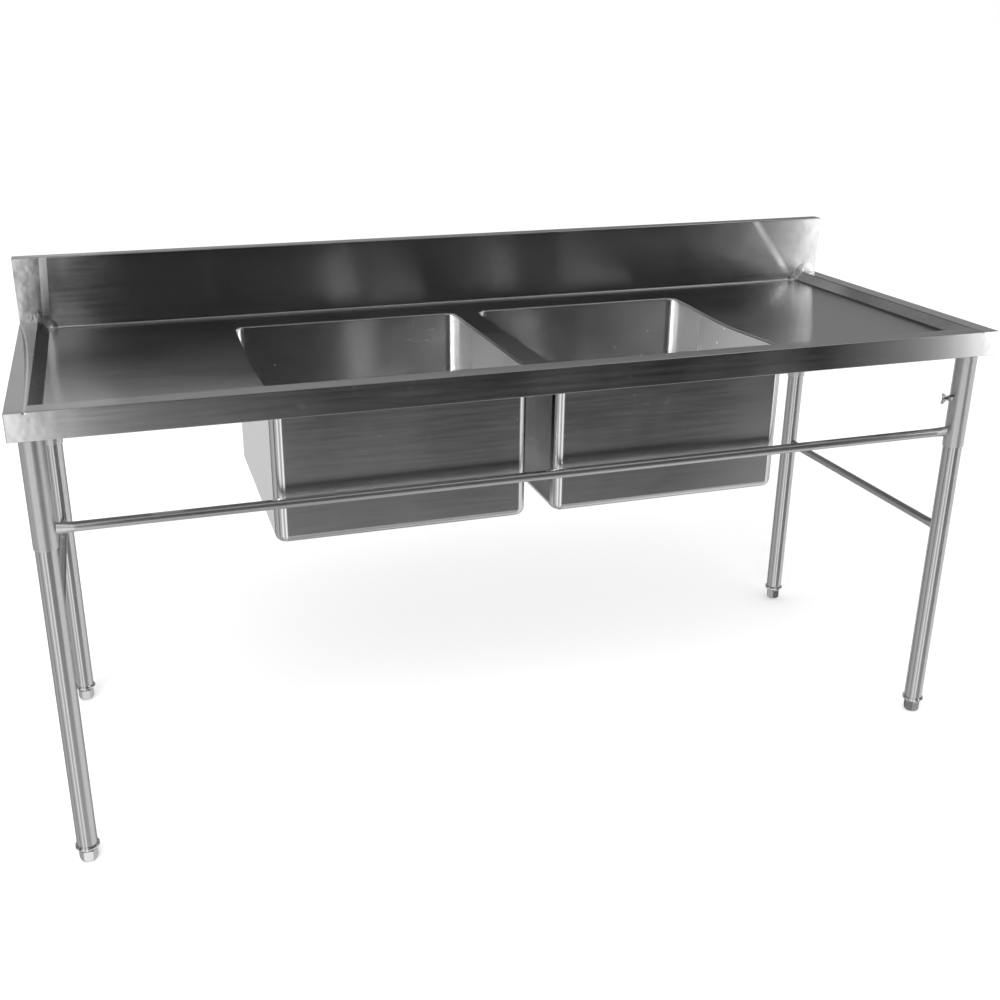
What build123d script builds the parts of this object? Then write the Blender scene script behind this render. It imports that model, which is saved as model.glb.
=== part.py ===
"""Stainless steel double bowl sink bench with a drainer at each end.

Millimetres, +Z up.  The origin is on the floor, at the centre of the bench's footprint.
+X runs along the bench to the user's right and +Y runs from the user towards the wall.
Each node is written to parts/NODE.step as its own solid or group of equal solids.
"""

from build123d import *
from math import atan2, cos, degrees, pi, sin
import os

# ---- driving dimensions: bench top -------------------------------------------------
bench_length = 1900.0
bench_depth = 700.0
rim_z = 900.0
splash_top_z = 1032.0
splash_depth = 32.0
apron_height = 50.0
sheet = 1.2
edge_radius = 2.5
return_flange = 12.0
rim_flat = 37.0
slope_run = 20.0
deck_drop = 18.5
drainer_sag = 8.0
cove_radius = 5.0

# ---- driving dimensions: bowls -----------------------------------------------------
bowl_width = 485.0
bowl_length = 495.0
bowl_front_y = -284.0
bowl_gap = 54.0
bowls_centre_x = -7.0
bowl_bottom_z = 588.0
collar_bottom_z = 862.0
bowl_corner_radius = 22.0
bowl_floor_radius = 16.0

# ---- driving dimensions: waste outlets ---------------------------------------------
waste_hole_radius = 45.0
waste_flange_radius = 56.0
waste_flange_height = 2.0
waste_cup_radius = 44.0
waste_cup_depth = 40.0
waste_wall = 1.5
waste_tail_radius = 23.9
waste_tail_length = 40.0
gasket_height = 3.0
waste_nut_height = 10.0
waste_nut_radius = 58.0
waste_tail_wall = 2.5
waste_nut_lug_reach = 3.0
waste_nut_lug_width = 8.0
waste_nut_lugs = 8
basket_floor_rise = 6.0
basket_floor = 1.2
basket_wall = 1.0
basket_side_gap = 1.5
basket_chamfer = 4.0
basket_lip = 5.0
basket_knob_stem = 3.0
basket_knob_radius = 9.0
basket_knob_height = 8.0
basket_hole_radius = 2.5
basket_holes_by_ring_radius = {13.0: 8, 22.0: 14, 31.0: 20}

# ---- driving dimensions: legs, sleeves and rails -----------------------------------
leg_x = 915.0
leg_y = {"front": -309.0, "rear": 300.0}
leg_radius = 19.05
leg_wall = 1.2
leg_bottom_z = 37.0
leg_top_z = 850.0
sleeve_radius = 21.0
sleeve_clearance = 0.08
sleeve_bottom_z = {"front": 646.0, "rear": 636.0}
rail_radius = 9.0
rail_wall = 1.2
rail_flare_length = 50.0
rail_end_height = 24.0
rail_end_thickness = 9.0
front_rail_z = 679.0
side_rail_z = 455.0

# ---- driving dimensions: bearers and sockets ---------------------------------------
channel_wall = 2.0
bearer_width = 64.0
bearer_height = 25.0
rear_bearer_y = 264.0
rear_bearer_width = 40.0
drainer_channel_x = 700.0
drainer_channel_width = 60.0
drainer_channel_height = 10.0
under_deck_gap = 1.0
socket_plate_size = 58.0
socket_plate_thickness = 4.0
socket_screw_pitch = 44.0
socket_screw_radius = 3.0
socket_screw_head = 5.5
socket_screw_head_height = 4.0

# ---- driving dimensions: feet and wing screws --------------------------------------
running_gap = 0.05
foot_collar_radius = 22.3
foot_collar_bottom_z = 25.0
foot_collar_bottom_radius = 17.5
foot_collar_band_z = (31.0, 34.0)
foot_collar_step = 0.6
foot_hex_height = 24.0
foot_hex_flats = 30.0
foot_hex_chamfer = 1.5
foot_sole_setbacks = [(6.0, 0.0), (2.0, 2.5), (0.0, 6.5)]
foot_stud_radius = 8.0
foot_stud_top_z = 80.0
foot_stud_bottom_z = 12.0
foot_plug_height = 30.0
wing_z = 752.0
wing_stud_radius = 3.0
wing_nut_flats = 12.0
wing_nut_reach = 28.0
wing_stud_reach = 38.0
wing_head_start = 32.0
wing_head_reach = 43.0
wing_hub_radii = (4.6, 3.8)
wing_span = 22.0
wing_thickness = 2.6
wing_tip_reach = 3.0
wing_corner_radius = 1.5
sleeve_hole_gap = 0.3

# ---- how far a cutting form runs past the face it cuts -----------------------------
overcut = 1.0

# ---- derived places ----------------------------------------------------------------
half_length = bench_length / 2
front_y = -bench_depth / 2
back_y = bench_depth / 2
splash_y = back_y - splash_depth
apron_bottom_z = rim_z - apron_height
deck_z = rim_z - deck_drop
slope_foot_x = half_length - rim_flat - slope_run
slope_foot_y = front_y + rim_flat + slope_run
bowl_rear_y = bowl_front_y + bowl_length
bowl_centre_y = (bowl_front_y + bowl_rear_y) / 2
bowl_x = {
    "left": bowls_centre_x - (bowl_gap + bowl_width) / 2,
    "right": bowls_centre_x + (bowl_gap + bowl_width) / 2,
}
side_sign = {"left": -1, "right": 1}
under_deck_z = deck_z - sheet - under_deck_gap
socket_plate_top_z = under_deck_z - channel_wall
socket_plate_bottom_z = socket_plate_top_z - socket_plate_thickness
wing_direction = {
    ("front", "left"): 90,
    ("front", "right"): 180,
    ("rear", "left"): 0,
    ("rear", "right"): 180,
}

nodes = {}


def block(x0, x1, y0, y1, z0, z1):
    """A box between two corners."""
    middle = Pos((x0 + x1) / 2, (y0 + y1) / 2, (z0 + z1) / 2)
    return middle * Box(x1 - x0, y1 - y0, z1 - z0)


def rod(radius, z0, z1, x=0.0, y=0.0):
    """An upright cylinder from z0 to z1."""
    return Pos(x, y, (z0 + z1) / 2) * Cylinder(radius, z1 - z0)


def tube(outer, inner, z0, z1, x=0.0, y=0.0):
    """An upright tube from z0 to z1."""
    return rod(outer, z0, z1, x, y) - rod(inner, z0 - overcut, z1 + overcut, x, y)


def turned(points):
    """A solid of revolution about Z from a closed outline of (radius, z) points."""
    with BuildSketch(Plane.XZ) as outline:
        with BuildLine():
            Polyline(*points, close=True)
        make_face()
    return revolve(outline.sketch, Axis.Z)


def channel(x0, x1, y0, y1, z0, z1, along):
    """A folded channel with its web on top and its open side down."""
    shrink_x = -overcut if along == "x" else channel_wall
    shrink_y = -overcut if along == "y" else channel_wall
    inside = block(
        x0 + shrink_x, x1 - shrink_x, y0 + shrink_y, y1 - shrink_y, z0 - overcut, z1 - channel_wall
    )
    return block(x0, x1, y0, y1, z0, z1) - inside


# ---- bench top ---------------------------------------------------------------------
def recess(lower):
    """The sunk deck between the rims: sloped on three sides, open towards the splashback."""
    floor_z = deck_z - lower
    far_y = splash_y + bench_depth
    floor = Rectangle(2 * slope_foot_x, far_y - slope_foot_y)
    base = Pos(0, (slope_foot_y + far_y) / 2, floor_z) * floor
    flare = degrees(atan2(slope_run, deck_drop))
    pan = extrude(base, deck_drop + overcut, dir=(0, 0, 1), taper=-flare)
    return pan & block(-bench_length, bench_length, 2 * front_y, splash_y, floor_z, splash_top_z)


def drainer_fall(outer_x, bowl_edge_x, lower):
    """The drainer's dip: none at the rim, deepest in the middle of the bowl's edge."""
    level = deck_z - lower
    lid = level + overcut
    y0, y1 = slope_foot_y, bowl_rear_y

    def section(x, dip):
        with BuildSketch(Plane.YZ.offset(x)) as face:
            with BuildLine():
                if dip:
                    middle = ((y0 + y1) / 2, level - dip)
                    Spline((y0, level), middle, (y1, level), tangents=((1, 0), (1, 0)))
                else:
                    Line((y0, level), (y1, level))
                Line((y1, level), (y1, lid))
                Line((y1, lid), (y0, lid))
                Line((y0, lid), (y0, level))
            make_face()
        return face.sketch

    return loft([section(outer_x, 0), section(bowl_edge_x, drainer_sag)], ruled=True)


def bowl_prism(side, inset, z0, z1):
    """The upright prism of one bowl, inset from its outer face."""
    outline = RectangleRounded(
        bowl_width - 2 * inset, bowl_length - 2 * inset, bowl_corner_radius - inset
    )
    return Pos(bowl_x[side], bowl_centre_y, z0) * extrude(outline, z1 - z0, dir=(0, 0, 1))


def bench_form(inset):
    """The bench top as a full form, shrunk by inset on its outer faces and top."""
    top_z = rim_z - inset
    form = block(
        -half_length + inset, half_length - inset, front_y + inset, back_y, apron_bottom_z, top_z
    )
    uprights = form.edges().filter_by(Axis.Z).sort_by(Axis.Y)[:2]
    top_edges = form.faces().sort_by(Axis.Z)[-1].edges().sort_by(Axis.Y)[:-1]
    form = fillet(uprights + top_edges, edge_radius - inset)
    form &= block(-half_length, half_length, front_y, splash_y, apron_bottom_z, rim_z)
    form -= recess(inset)
    past_edge = bowl_corner_radius
    left_edge = bowl_x["left"] - bowl_width / 2 + past_edge
    right_edge = bowl_x["right"] + bowl_width / 2 - past_edge
    form -= drainer_fall(-slope_foot_x, left_edge, inset)
    form -= drainer_fall(slope_foot_x, right_edge, inset)
    return form


def make_worktop():
    """One folded sheet: rims, aprons with return flanges, deck, drainers and bowl collars."""
    top = bench_form(0)
    hollow = bench_form(sheet)
    hollow &= block(-half_length, half_length, front_y, splash_y, apron_bottom_z + sheet, rim_z)
    hollow += block(
        -half_length + return_flange,
        half_length - return_flange,
        front_y + return_flange,
        splash_y,
        apron_bottom_z,
        apron_bottom_z + 2 * sheet,
    )
    for side in bowl_x:
        hollow -= bowl_prism(side, 0, collar_bottom_z, rim_z)
    top -= hollow
    for side in bowl_x:
        top -= bowl_prism(side, sheet, apron_bottom_z, rim_z + overcut)
    return top


def make_splashback():
    """A folded box upstand: a front leaf from the deck up, a top, and a full back leaf."""
    outer = Rectangle(splash_depth, splash_top_z - apron_bottom_z)
    outer = fillet(outer.vertices().sort_by(Axis.Y)[-2:], edge_radius)
    inner = Pos(0, -sheet) * Rectangle(splash_depth - 2 * sheet, splash_top_z - apron_bottom_z)
    inner = fillet(inner.vertices().sort_by(Axis.Y)[-2:], edge_radius - sheet)
    section = outer - inner
    middle_y = (splash_y + back_y) / 2
    middle_z = (splash_top_z + apron_bottom_z) / 2
    leaf = Plane(origin=(-half_length, middle_y, middle_z), x_dir=(0, 1, 0), z_dir=(1, 0, 0))
    box = extrude(leaf * section, bench_length)
    leg_room_y = back_y - 2 * sheet
    leg_room_z = apron_bottom_z - overcut
    box -= block(-bench_length, bench_length, 0, leg_room_y, leg_room_z, deck_z - sheet)
    corner = block(
        -slope_foot_x, slope_foot_x, splash_y - cove_radius, splash_y, deck_z, deck_z + cove_radius
    )
    bead = Pos(0, splash_y - cove_radius, deck_z + cove_radius)
    bead *= Rot(0, 90, 0) * Cylinder(cove_radius, bench_length)
    return box + (corner - bead)


def make_splash_end(side):
    """The flat cap that closes one end of the splashback's box."""
    x0, x1 = sorted(side_sign[side] * (half_length - depth) for depth in (0, sheet))
    y0, y1 = splash_y + sheet, back_y - sheet
    plate = block(x0, x1, y0, y1, apron_bottom_z, splash_top_z - sheet)
    top_edges = plate.edges().filter_by(Axis.X).sort_by(Axis.Z)[-2:]
    plate = fillet(top_edges, edge_radius - sheet)
    return plate + block(x0, x1, splash_y, y0, apron_bottom_z, deck_z - sheet)


def make_bowl(side):
    """A deep drawn bowl with rounded corners and a round hole for the waste."""

    def form(inset, z0, z1):
        body = bowl_prism(side, inset, z0, z1)
        bottom_edges = body.faces().sort_by(Axis.Z)[0].edges()
        return fillet(bottom_edges, bowl_floor_radius - inset)

    bowl = form(0, bowl_bottom_z, collar_bottom_z)
    floor_z = bowl_bottom_z + sheet
    bowl -= form(sheet, floor_z, collar_bottom_z + overcut)
    hole_ends = (bowl_bottom_z - overcut, floor_z + overcut)
    return bowl - rod(waste_hole_radius, *hole_ends, bowl_x[side], bowl_centre_y)


# ---- bearers and leg sockets -------------------------------------------------------
def make_bearer(side):
    """A channel under one end of the bench, from the front apron to the back leaf."""
    x = side_sign[side] * leg_x
    return channel(
        x - bearer_width / 2,
        x + bearer_width / 2,
        front_y + sheet,
        back_y - sheet,
        under_deck_z - bearer_height,
        under_deck_z,
        along="y",
    )


def make_rear_bearer():
    """A channel behind the bowls, between the two end bearers."""
    reach = leg_x - bearer_width / 2
    return channel(
        -reach,
        reach,
        rear_bearer_y - rear_bearer_width / 2,
        rear_bearer_y + rear_bearer_width / 2,
        under_deck_z - bearer_height,
        under_deck_z,
        along="x",
    )


def make_drainer_channel(side):
    """A stiffener under one drainer, from the front apron to the rear bearer."""
    x = side_sign[side] * drainer_channel_x
    top_z = under_deck_z - drainer_sag
    return channel(
        x - drainer_channel_width / 2,
        x + drainer_channel_width / 2,
        front_y + sheet,
        rear_bearer_y - rear_bearer_width / 2,
        top_z - drainer_channel_height,
        top_z,
        along="y",
    )


def screw_places(x, y):
    """The four screws at the corners of a socket plate."""
    half = socket_screw_pitch / 2
    return [(x + i * half, y + j * half) for i in (-1, 1) for j in (-1, 1)]


def make_socket_plate(x, y):
    """A square plate that the sleeve is welded to, with four screw holes."""
    half = socket_plate_size / 2
    plate = block(
        x - half, x + half, y - half, y + half, socket_plate_bottom_z, socket_plate_top_z
    )
    for hole_x, hole_y in screw_places(x, y):
        hole_radius = socket_screw_radius + running_gap
        hole_ends = (socket_plate_bottom_z - overcut, socket_plate_top_z + overcut)
        plate -= rod(hole_radius, *hole_ends, hole_x, hole_y)
    return plate


def drill_bearer(bearer, x, y):
    """The tapped holes for one socket plate's screws."""
    for hole_x, hole_y in screw_places(x, y):
        hole_radius = socket_screw_radius + running_gap
        hole_ends = (socket_plate_top_z - overcut, under_deck_z + overcut)
        bearer -= rod(hole_radius, *hole_ends, hole_x, hole_y)
    return bearer


def make_socket_screw(x, y):
    """A hexagon head screw through the plate into the bearer's web."""
    hexagon = RegularPolygon(socket_screw_head, 6)
    head = extrude(hexagon, socket_screw_head_height, dir=(0, 0, 1))
    head = Pos(x, y, socket_plate_bottom_z - socket_screw_head_height) * head
    shank_bottom_z = socket_plate_bottom_z - socket_screw_head_height / 2
    return head + rod(socket_screw_radius, shank_bottom_z, under_deck_z, x, y)


def make_sleeve(x, y, bottom_z, angle):
    """A tube that holds the leg, with a side hole for the wing screw."""
    bore = leg_radius + sleeve_clearance
    sleeve = tube(sleeve_radius, bore, bottom_z, socket_plate_bottom_z, x, y)
    hole_radius = wing_stud_radius + sleeve_hole_gap
    return sleeve - radial_rod(hole_radius, leg_radius / 2, wing_nut_reach, x, y, angle)


# ---- rails -------------------------------------------------------------------------
def flared_bar(length, radius, end_height, end_thickness):
    """A round bar along X, centred, whose two ends are squashed upright."""
    straight = length / 2 - rail_flare_length
    bar = Rot(0, 90, 0) * Cylinder(radius, 2 * straight)
    for sign in (-1, 1):
        start = Plane(origin=(sign * straight, 0, 0), x_dir=(0, 1, 0), z_dir=(1, 0, 0))
        end = Plane(origin=(sign * length / 2, 0, 0), x_dir=(0, 1, 0), z_dir=(1, 0, 0))
        squashed = Ellipse(end_thickness / 2, end_height / 2)
        bar += loft([start * Circle(radius), end * squashed])
    return bar


def flared_tube(length):
    """A hollow rail along X with squashed ends."""
    skin = 2 * rail_wall
    outside = flared_bar(length, rail_radius, rail_end_height, rail_end_thickness)
    inside = flared_bar(
        length + 2 * overcut, rail_radius - rail_wall, rail_end_height - skin, rail_end_thickness - skin
    )
    return outside - inside


def make_front_rail():
    """The rail between the two front sleeves, coped to their round faces."""
    rail = Pos(0, leg_y["front"], front_rail_z) * flared_tube(2 * leg_x)
    for sign in side_sign.values():
        rail -= rod(sleeve_radius, 0, rim_z, sign * leg_x, leg_y["front"])
    return rail


def make_side_rail(side):
    """The rail between the front and the rear leg of one end."""
    x = side_sign[side] * leg_x
    span = leg_y["rear"] - leg_y["front"]
    middle_y = (leg_y["rear"] + leg_y["front"]) / 2
    rail = Pos(x, middle_y, side_rail_z) * Rot(0, 0, 90) * flared_tube(span)
    for y in leg_y.values():
        rail -= rod(leg_radius, 0, rim_z, x, y)
    return rail


# ---- wing screws -------------------------------------------------------------------
def radial_rod(radius, r0, r1, x, y, angle):
    """A level rod that points away from a leg's axis, from radius r0 to r1."""
    along = Pos((r0 + r1) / 2, 0, 0) * Rot(0, 90, 0) * Cylinder(radius, r1 - r0)
    return Pos(x, y, wing_z) * Rot(0, 0, angle) * along


def radial_hex(flats, r0, r1, x, y, angle):
    """A level hexagonal bar that points away from a leg's axis."""
    outline = RegularPolygon(flats / 2, 6, major_radius=False)
    bar = Pos(r0, 0, 0) * Rot(0, 90, 0) * extrude(outline, r1 - r0, dir=(0, 0, 1))
    return Pos(x, y, wing_z) * Rot(0, 0, angle) * bar


def make_sleeve_nut(x, y, angle):
    """The nut welded on the sleeve, hollowed to the sleeve's round face."""
    nut = radial_hex(wing_nut_flats, leg_radius, wing_nut_reach, x, y, angle)
    nut -= rod(sleeve_radius, wing_z - wing_nut_flats, wing_z + wing_nut_flats, x, y)
    bore = wing_stud_radius + running_gap
    return nut - radial_rod(bore, leg_radius / 2, wing_head_reach, x, y, angle)


def make_wing_stud(x, y, angle):
    """The threaded stud that clamps the leg in its sleeve."""
    tip = leg_radius + running_gap
    return radial_rod(wing_stud_radius, tip, wing_stud_reach, x, y, angle)


def make_wing_head(x, y, angle):
    """The thumb piece on the stud: a hub with two upright wings."""
    hub = Pos((wing_head_start + wing_head_reach) / 2, 0, 0) * Rot(0, 90, 0)
    hub *= Cone(*wing_hub_radii, wing_head_reach - wing_head_start)
    tip = wing_head_reach + wing_tip_reach
    with BuildSketch(Plane.XZ) as outline:
        with BuildLine():
            Polyline(
                (wing_head_start + 2, 0),
                (wing_head_start + 4, wing_span / 4),
                (wing_head_reach - 2, wing_span / 2),
                (tip, wing_span / 2),
                (tip, wing_span / 3),
                (wing_head_reach - 1, 0),
                close=True,
            )
        make_face()
    wing = extrude(outline.sketch, wing_thickness / 2, both=True)
    rounded = wing.edges().filter_by(Axis.Y).sort_by(Axis.Z)[-3:]
    wing = fillet(rounded, wing_corner_radius)
    head = hub + wing + Rot(180, 0, 0) * wing
    bore_depth = wing_stud_reach + running_gap
    bore = Pos(bore_depth / 2, 0, 0) * Rot(0, 90, 0)
    bore *= Cylinder(wing_stud_radius + running_gap, bore_depth)
    return Pos(x, y, wing_z) * Rot(0, 0, angle) * (head - bore)


# ---- legs and feet -----------------------------------------------------------------
def make_foot_insert(x, y):
    """The collar and plug in the leg's end, bored for the foot's stud."""
    bore = foot_stud_radius + running_gap
    plug = leg_radius - leg_wall - running_gap
    insert = turned([
        (bore, foot_collar_bottom_z),
        (foot_collar_bottom_radius, foot_collar_bottom_z),
        (foot_collar_radius, foot_collar_band_z[0]),
        (foot_collar_radius, foot_collar_band_z[1]),
        (leg_radius + foot_collar_step, leg_bottom_z),
        (plug, leg_bottom_z),
        (plug, leg_bottom_z + foot_plug_height),
        (bore, leg_bottom_z + foot_plug_height),
    ])
    return Pos(x, y, 0) * insert


def make_foot_stud(x, y):
    """The threaded stud that carries the foot."""
    return rod(foot_stud_radius, foot_stud_bottom_z, foot_stud_top_z, x, y)


def make_foot_hex(x, y):
    """The hexagonal boot, rounded at the floor, with a blind hole for the stud."""
    hexagon = extrude(RegularPolygon(foot_hex_flats / 2, 6, major_radius=False), foot_hex_height)
    corner = foot_hex_flats / 2 / cos(pi / 6)
    sole = [(corner - setback, height) for setback, height in foot_sole_setbacks]
    rounded = turned([
        (0, 0),
        *sole,
        (corner, foot_hex_height - foot_hex_chamfer),
        (corner - foot_hex_chamfer, foot_hex_height),
        (0, foot_hex_height),
    ])
    bore = rod(foot_stud_radius + running_gap, foot_stud_bottom_z, foot_hex_height + overcut)
    return Pos(x, y, 0) * ((hexagon & rounded) - bore)


# ---- waste outlets -----------------------------------------------------------------
def make_waste_body(x):
    """The waste: a flange on the bowl's floor, a strainer cup and a threaded tail."""
    floor_z = bowl_bottom_z + sheet
    rim_top_z = floor_z + waste_flange_height
    cup_floor_z = floor_z - waste_cup_depth
    tail_z = cup_floor_z - waste_tail_length
    tail_bore = waste_tail_radius - waste_tail_wall
    inner = waste_cup_radius - waste_wall
    body = turned([
        (tail_bore, tail_z),
        (waste_tail_radius, tail_z),
        (waste_tail_radius, cup_floor_z),
        (waste_cup_radius, cup_floor_z),
        (waste_cup_radius, floor_z),
        (waste_flange_radius, floor_z),
        (waste_flange_radius - waste_wall, rim_top_z),
        (inner + waste_wall, rim_top_z),
        (inner, rim_top_z - waste_wall),
        (inner, cup_floor_z + waste_wall),
        (tail_bore, cup_floor_z + waste_wall),
    ])
    return Pos(x, bowl_centre_y, 0) * body


def make_waste_gasket(x):
    """The rubber ring between the bowl's floor and the nut."""
    bore = waste_cup_radius + running_gap
    z1 = bowl_bottom_z
    return tube(waste_flange_radius, bore, z1 - gasket_height, z1, x, bowl_centre_y)


def make_waste_nut(x):
    """The ring nut that clamps the waste, with eight lugs for a wrench."""
    z1 = bowl_bottom_z - gasket_height
    z0 = z1 - waste_nut_height
    nut = rod(waste_nut_radius, z0, z1)
    lug = block(
        waste_nut_radius - waste_nut_lug_reach,
        waste_nut_radius + waste_nut_lug_reach,
        -waste_nut_lug_width / 2,
        waste_nut_lug_width / 2,
        z0,
        z1,
    )
    for turn in range(waste_nut_lugs):
        nut += Rot(0, 0, 360 * turn / waste_nut_lugs) * lug
    nut -= rod(waste_cup_radius + running_gap, z0 - overcut, z1 + overcut)
    return Pos(x, bowl_centre_y, 0) * nut


def make_waste_basket(x):
    """The strainer basket that lifts out of the waste by its knob."""
    flange_z = bowl_bottom_z + sheet + waste_flange_height
    bottom_z = flange_z - waste_cup_depth + basket_floor_rise
    floor_top_z = bottom_z + basket_floor
    lip_top_z = flange_z + basket_wall
    outer = waste_cup_radius - waste_wall - basket_side_gap
    inner = outer - basket_wall
    neck = (basket_knob_stem + basket_knob_radius) / 2
    basket = turned([
        (0, bottom_z),
        (outer - basket_chamfer, bottom_z),
        (outer, bottom_z + basket_chamfer),
        (outer, flange_z),
        (outer + basket_lip, flange_z),
        (outer + basket_lip, lip_top_z),
        (inner, lip_top_z),
        (inner, floor_top_z + basket_chamfer),
        (inner - basket_chamfer, floor_top_z),
        (basket_knob_stem, floor_top_z),
        (basket_knob_stem, flange_z - basket_knob_height / 2),
        (neck, lip_top_z),
        (basket_knob_radius, flange_z + basket_knob_height / 2),
        (neck, flange_z + basket_knob_height - basket_wall),
        (0, flange_z + basket_knob_height),
    ])
    for ring_radius, count in basket_holes_by_ring_radius.items():
        for hole in range(count):
            angle = 2 * pi * hole / count
            place = (ring_radius * cos(angle), ring_radius * sin(angle))
            basket -= rod(basket_hole_radius, bottom_z - overcut, floor_top_z + overcut, *place)
    return Pos(x, bowl_centre_y, 0) * basket


# ---- the whole bench ---------------------------------------------------------------
nodes["worktop"] = [make_worktop()]
nodes["splashback"] = [make_splashback()]
nodes["rear_bearer"] = [make_rear_bearer()]
nodes["front_rail"] = [make_front_rail()]
nodes["socket_screws"] = []
nodes["sleeve_nuts"] = []

for side, sign in side_sign.items():
    nodes[f"splash_end_{side}"] = [make_splash_end(side)]
    nodes[f"bowl_{side}"] = [make_bowl(side)]
    nodes[f"drainer_channel_{side}"] = [make_drainer_channel(side)]
    nodes[f"side_rail_{side}"] = [make_side_rail(side)]
    nodes[f"waste_body_{side}"] = [make_waste_body(bowl_x[side])]
    nodes[f"waste_gasket_{side}"] = [make_waste_gasket(bowl_x[side])]
    nodes[f"waste_nut_{side}"] = [make_waste_nut(bowl_x[side])]
    nodes[f"waste_basket_{side}"] = [make_waste_basket(bowl_x[side])]
    bearer = make_bearer(side)
    x = sign * leg_x
    for end, y in leg_y.items():
        place = f"{end}_{side}"
        angle = wing_direction[end, side]
        bearer = drill_bearer(bearer, x, y)
        nodes[f"socket_plate_{place}"] = [make_socket_plate(x, y)]
        nodes[f"sleeve_{place}"] = [make_sleeve(x, y, sleeve_bottom_z[end], angle)]
        nodes[f"leg_{place}"] = [tube(leg_radius, leg_radius - leg_wall, leg_bottom_z, leg_top_z, x, y)]
        nodes[f"foot_insert_{place}"] = [make_foot_insert(x, y)]
        nodes[f"foot_stud_{place}"] = [make_foot_stud(x, y)]
        nodes[f"foot_hex_{place}"] = [make_foot_hex(x, y)]
        nodes[f"wing_stud_{place}"] = [make_wing_stud(x, y, angle)]
        nodes[f"wing_head_{place}"] = [make_wing_head(x, y, angle)]
        nodes["sleeve_nuts"].append(make_sleeve_nut(x, y, angle))
        nodes["socket_screws"] += [make_socket_screw(*spot) for spot in screw_places(x, y)]
    nodes[f"bearer_{side}"] = [bearer]

os.makedirs("parts", exist_ok=True)
for name, solids in nodes.items():
    shape = solids[0] if len(solids) == 1 else Compound(children=solids)
    export_step(shape, f"parts/{name}.step")
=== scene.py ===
"""Looks of the double bowl sink bench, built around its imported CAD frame. Metres, +Z up."""

import math

import bpy
from mathutils import Matrix, Vector, geometry


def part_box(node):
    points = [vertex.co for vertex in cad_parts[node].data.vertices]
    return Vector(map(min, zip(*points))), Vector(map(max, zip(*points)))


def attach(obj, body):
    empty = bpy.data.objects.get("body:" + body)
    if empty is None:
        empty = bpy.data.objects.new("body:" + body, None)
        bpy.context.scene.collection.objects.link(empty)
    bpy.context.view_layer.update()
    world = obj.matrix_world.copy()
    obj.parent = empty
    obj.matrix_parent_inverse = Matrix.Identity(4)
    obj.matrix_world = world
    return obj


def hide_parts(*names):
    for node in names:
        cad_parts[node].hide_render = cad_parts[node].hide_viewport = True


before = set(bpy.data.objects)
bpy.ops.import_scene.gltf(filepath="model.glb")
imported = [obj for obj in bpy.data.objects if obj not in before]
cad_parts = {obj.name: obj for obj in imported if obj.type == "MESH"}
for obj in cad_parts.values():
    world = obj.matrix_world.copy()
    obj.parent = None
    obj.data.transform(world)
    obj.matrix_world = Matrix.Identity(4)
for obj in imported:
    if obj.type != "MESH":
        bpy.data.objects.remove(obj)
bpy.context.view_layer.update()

# ---- sizes taken from the frame ----------------------------------------------------
top_low, top_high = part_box("worktop")
splash_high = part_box("splashback")[1]
HALF_LENGTH = top_high.x
FRONT_Y = top_low.y
SPLASH_Y = top_high.y
RIM_Z = top_high.z
APRON_Z = top_low.z
SPLASH_TOP_Z = splash_high.z
BOWLS = {side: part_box(f"bowl_{side}") for side in ("left", "right")}
BOWL_BOTTOM_Z = BOWLS["left"][0].z

# ---- sizes of the folded sheet -----------------------------------------------------
SHEET = 0.0012
RIM_FLAT = 0.037
SLOPE_RUN = 0.020
DECK_DROP = 0.0185
DECK_Z = RIM_Z - DECK_DROP
SLOPE_FOOT_X = HALF_LENGTH - RIM_FLAT - SLOPE_RUN
SLOPE_FOOT_Y = FRONT_Y + RIM_FLAT + SLOPE_RUN
DRAINER_SAG = 0.008
TOP_BEND = 0.0015
CROWN = 0.2  # the radius of the rims' slight rounding
CROWN_TILT = math.radians(4)
LOW_BEND = 0.001
CORNER_BEND = 0.002
SLOPE_TOP_BEND = 0.002
SLOPE_FOOT_BEND = 0.003
FLANGE = 0.012  # the return at the foot of the apron
BOWL_CORNER = 0.022
BOWL_FLOOR_BEND = 0.016
WASTE_HOLE_RADIUS = 0.045
ROLL_FRONT = 0.005  # the radii of the rolled edges round a bowl opening
ROLL_REAR = 0.003
ROLL_DRAINER = 0.004
ROLL_DIVIDER = 0.003
WALL_DROP = 0.0005  # straight sheet between a rolled edge and the top of a bowl's wall

# ---- how finely the sheet is divided -----------------------------------------------
STATION_GAP = 0.05
CORNER_GAPS = (0.002, 0.012, 0.05)  # from the end of a corner's bend
FRONT_START = -0.8
BOWL_CORNER_STEPS = 8
BOWL_WALL_STEPS = 24
DECK_SPACING = 0.012


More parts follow.
